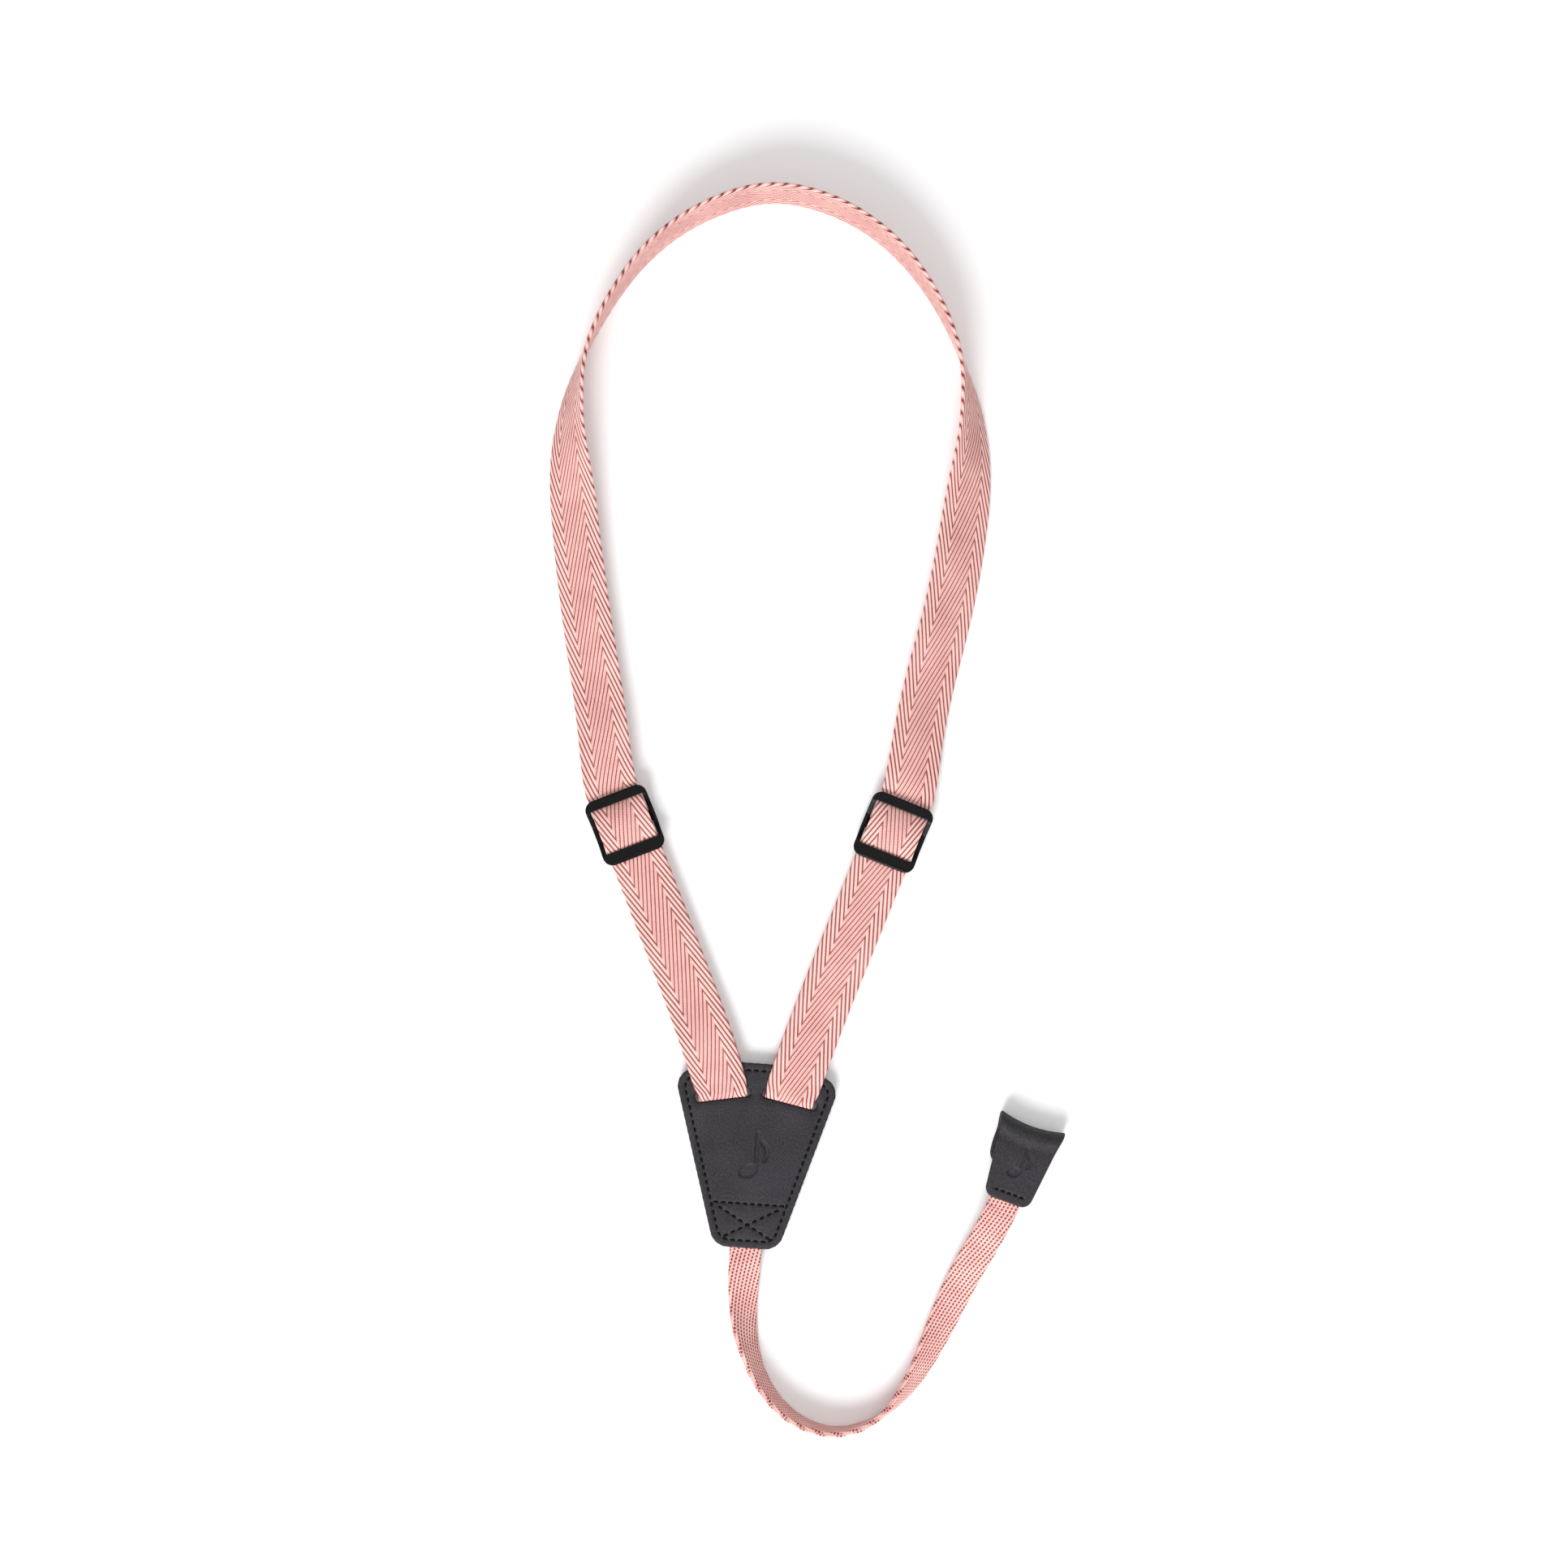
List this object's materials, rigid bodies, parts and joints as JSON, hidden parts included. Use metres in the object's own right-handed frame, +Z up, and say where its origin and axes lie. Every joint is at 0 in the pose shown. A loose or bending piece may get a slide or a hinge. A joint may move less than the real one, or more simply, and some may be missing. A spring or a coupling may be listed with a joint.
{
  "type": "ukulele neck strap with soundhole hook",
  "caption": "Neck strap of pink herringbone webbing with two plastic sliders, a stitched leather yoke and a narrow tail that ends in a leather soundhole hook.",
  "frame": {"origin": "on the table, in the middle of the strap's overall length and width as it lies", "axes": "+Z up from the table, +Y towards the top of the neck loop, +X towards the side where the soundhole hook lies"},
  "size_m": [0.195, 0.47, 0.02],
  "materials": {
    "pink_webbing": "herringbone weave, soft sheen",
    "pink_tail_webbing": "twill weave",
    "pink_thread": "sewing thread",
    "black_plastic": "moulded, satin",
    "charcoal_leather": "smooth fine grain, low sheen",
    "stiffener_board": "plain board, hidden between the leathers",
    "black_thread": "waxed sewing thread"
  },
  "bodies": {
    "yoke": {"neck_webbing": "pink_webbing", "left_return_webbing": "pink_webbing", "right_return_webbing": "pink_webbing", "yoke_back_leather": "charcoal_leather", "yoke_stiffener": "stiffener_board", "yoke_front_leather": "charcoal_leather", "yoke_edge_stitching": "black_thread", "yoke_row_stitching": "black_thread", "yoke_cross_stitching": "black_thread", "tail_anchor": "pink_tail_webbing"},
    "left_slider": {"left_slider": "black_plastic", "left_end_fold": "pink_webbing", "left_end_stitching": "pink_thread"},
    "right_slider": {"right_slider": "black_plastic", "right_end_fold": "pink_webbing", "right_end_stitching": "pink_thread"},
    "tail": {"tail_webbing": "pink_tail_webbing"},
    "hook": {"hook_outer_leather": "charcoal_leather", "hook_stiffener": "stiffener_board", "hook_lining": "charcoal_leather", "hook_webbing_end": "pink_tail_webbing", "hook_stitching": "black_thread"}
  },
  "joints": [
    {"name": "left_slider_slide", "type": "slide", "parent": "yoke", "child": "left_slider", "axis": [0.3584, -0.9336, 0], "range_m": [0, 0.05], "deforming": ["left_return_webbing"]},
    {"name": "right_slider_slide", "type": "slide", "parent": "yoke", "child": "right_slider", "axis": [-0.3746, -0.9272, 0], "range_m": [0, 0.05], "deforming": ["right_return_webbing"]},
    {"name": "tail_hinge", "type": "hinge", "parent": "yoke", "child": "tail", "pos_m": [-0.0232, -0.1676, 0.00355], "axis": [0.9976, -0.0698, 0], "range_deg": [-90, 90]},
    {"name": "hook_hinge", "type": "hinge", "parent": "tail", "child": "hook", "pos_m": [0.0743, -0.1494, 0.0087], "axis": [0.9397, -0.342, 0], "range_deg": [-90, 90]}
  ]
}
